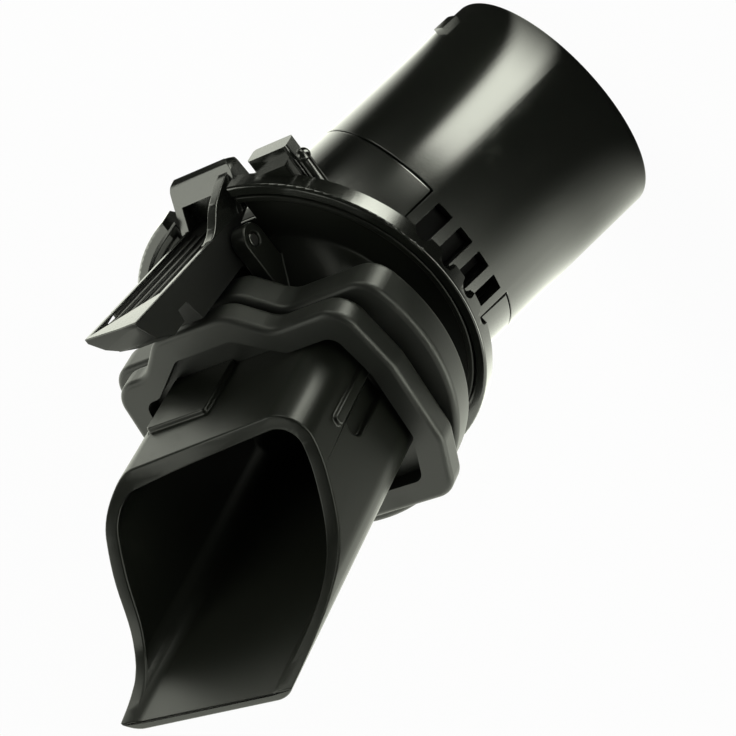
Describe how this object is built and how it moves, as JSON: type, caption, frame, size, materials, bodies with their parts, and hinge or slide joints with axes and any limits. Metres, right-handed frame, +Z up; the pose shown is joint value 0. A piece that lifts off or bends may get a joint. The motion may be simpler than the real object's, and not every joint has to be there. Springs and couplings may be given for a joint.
{
  "type": "vacuum hose connector",
  "caption": "Angled black vacuum hose connector: round hose cuff, skirted elbow, lipped rubber seal and a latched rectangular spout with a slanted mouth.",
  "frame": {"origin": "centre of the open face of the hose cuff, which the part stands on", "axes": "+Z up along the hose cuff's axis towards the elbow; +X towards the side that the spout leans to; +Y towards the latch"},
  "size_m": [0.085, 0.0653, 0.1319],
  "materials": {
    "cuff_plastic": "satin black moulded plastic",
    "elbow_plastic": "satin black moulded plastic",
    "spout_plastic": "satin black moulded plastic",
    "seal_rubber": "matt black rubber",
    "latch_plastic": "satin black moulded plastic",
    "pin_steel": "plain steel",
    "spring_steel": "spring steel"
  },
  "bodies": {
    "connector": {"hose_cuff": "cuff_plastic", "elbow_housing": "elbow_plastic", "inlet_spout": "spout_plastic", "flange_seal": "seal_rubber", "latch_pin": "pin_steel", "latch_spring": "spring_steel"},
    "latch": {"latch_lever": "latch_plastic"}
  },
  "joints": [
    {"name": "latch_pivot", "type": "hinge", "parent": "connector", "child": "latch", "pos_m": [0.00212, 0.0226, 0.06633], "axis": [-0.8271, 0, 0.5621], "range_deg": [0, 9], "stiffness_Nm_per_rad": 0.15, "springref_deg": -17.19}
  ]
}
